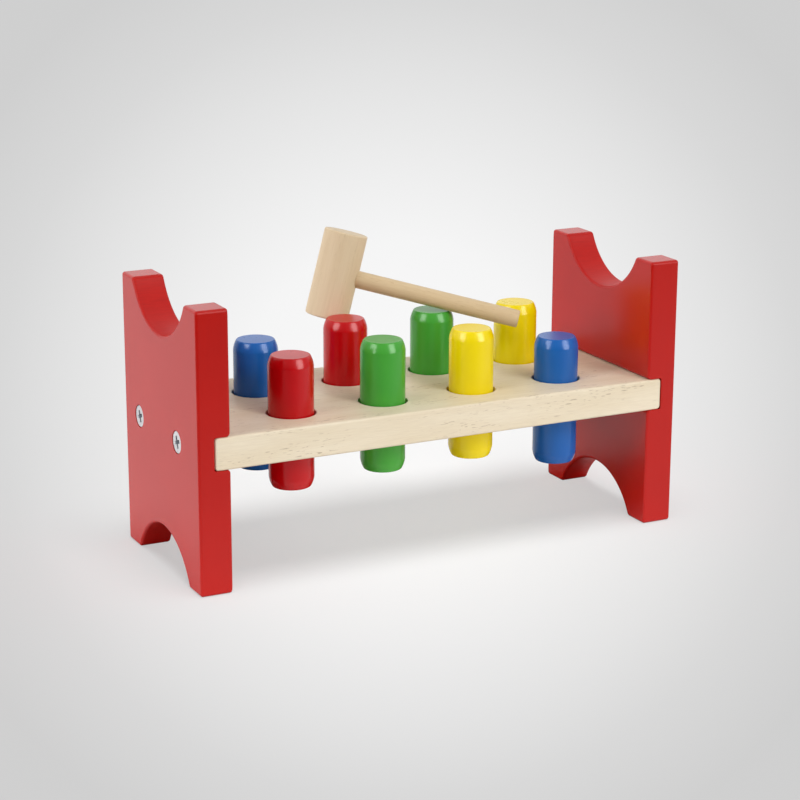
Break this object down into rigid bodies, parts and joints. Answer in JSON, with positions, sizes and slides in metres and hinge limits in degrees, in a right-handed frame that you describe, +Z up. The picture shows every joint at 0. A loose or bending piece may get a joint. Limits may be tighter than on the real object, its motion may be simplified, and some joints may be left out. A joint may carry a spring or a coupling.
{
  "type": "peg pounding bench",
  "caption": "Wooden toy bench: two notched red end panels carry a plank with two rows of coloured pegs that slide through gripping holes, with a mallet laid across them.",
  "frame": {"origin": "on the floor, in the middle of the footprint of the bench and the mallet that lies on it; the bench's own middle plane is 2.525 mm in front of it (y = -0.002525), because the mallet's head reaches past the rear of the plank", "axes": "+X along the plank towards the right panel, +Y from the front row to the rear row, +Z up"},
  "size_m": [0.292, 0.114, 0.1688],
  "materials": {
    "red_lacquer": "satin-gloss red lacquer over solid wood",
    "plank_wood": "clear matt varnish over pale beech",
    "mallet_wood": "sanded bare beech",
    "red_peg_paint": "glossy red lacquer over turned wood",
    "green_peg_paint": "glossy green lacquer over turned wood",
    "yellow_peg_paint": "glossy yellow lacquer over turned wood",
    "blue_peg_paint": "glossy blue lacquer over turned wood",
    "grip_rubber": "matt black elastic ring",
    "screw_steel": "zinc-plated steel"
  },
  "bodies": {
    "bench": {"end_panel_left": "red_lacquer", "end_panel_right": "red_lacquer", "bench_plank": "plank_wood", "grip_ring_front_1": "grip_rubber", "grip_ring_front_2": "grip_rubber", "grip_ring_front_3": "grip_rubber", "grip_ring_front_4": "grip_rubber", "grip_ring_rear_1": "grip_rubber", "grip_ring_rear_2": "grip_rubber", "grip_ring_rear_3": "grip_rubber", "grip_ring_rear_4": "grip_rubber", "screw_left_front": "screw_steel", "screw_left_rear": "screw_steel", "screw_right_front": "screw_steel", "screw_right_rear": "screw_steel"},
    "peg_front_red": {"peg_front_red": "red_peg_paint"},
    "peg_front_green": {"peg_front_green": "green_peg_paint"},
    "peg_front_yellow": {"peg_front_yellow": "yellow_peg_paint"},
    "peg_front_blue": {"peg_front_blue": "blue_peg_paint"},
    "peg_rear_blue": {"peg_rear_blue": "blue_peg_paint"},
    "peg_rear_red": {"peg_rear_red": "red_peg_paint"},
    "peg_rear_green": {"peg_rear_green": "green_peg_paint"},
    "peg_rear_yellow": {"peg_rear_yellow": "yellow_peg_paint"},
    "mallet": {"mallet_head": "mallet_wood", "mallet_handle": "mallet_wood"}
  },
  "joints": [
    {"name": "peg_front_red_slide", "type": "slide", "parent": "bench", "child": "peg_front_red", "axis": [0, 0, 1], "range_m": [-0.032, 0.023]},
    {"name": "peg_front_green_slide", "type": "slide", "parent": "bench", "child": "peg_front_green", "axis": [0, 0, 1], "range_m": [-0.0345, 0.0205]},
    {"name": "peg_front_yellow_slide", "type": "slide", "parent": "bench", "child": "peg_front_yellow", "axis": [0, 0, 1], "range_m": [-0.035, 0.02]},
    {"name": "peg_front_blue_slide", "type": "slide", "parent": "bench", "child": "peg_front_blue", "axis": [0, 0, 1], "range_m": [-0.0245, 0.0305]},
    {"name": "peg_rear_blue_slide", "type": "slide", "parent": "bench", "child": "peg_rear_blue", "axis": [0, 0, 1], "range_m": [-0.03, 0.025]},
    {"name": "peg_rear_red_slide", "type": "slide", "parent": "bench", "child": "peg_rear_red", "axis": [0, 0, 1], "range_m": [-0.036, 0.019]},
    {"name": "peg_rear_green_slide", "type": "slide", "parent": "bench", "child": "peg_rear_green", "axis": [0, 0, 1], "range_m": [-0.0355, 0]},
    {"name": "peg_rear_yellow_slide", "type": "slide", "parent": "bench", "child": "peg_rear_yellow", "axis": [0, 0, 1], "range_m": [-0.0345, 0.0205]},
    {"name": "mallet_lift", "type": "slide", "parent": "bench", "child": "mallet", "axis": [0, 0, 1], "range_m": [0, 0.08]}
  ]
}
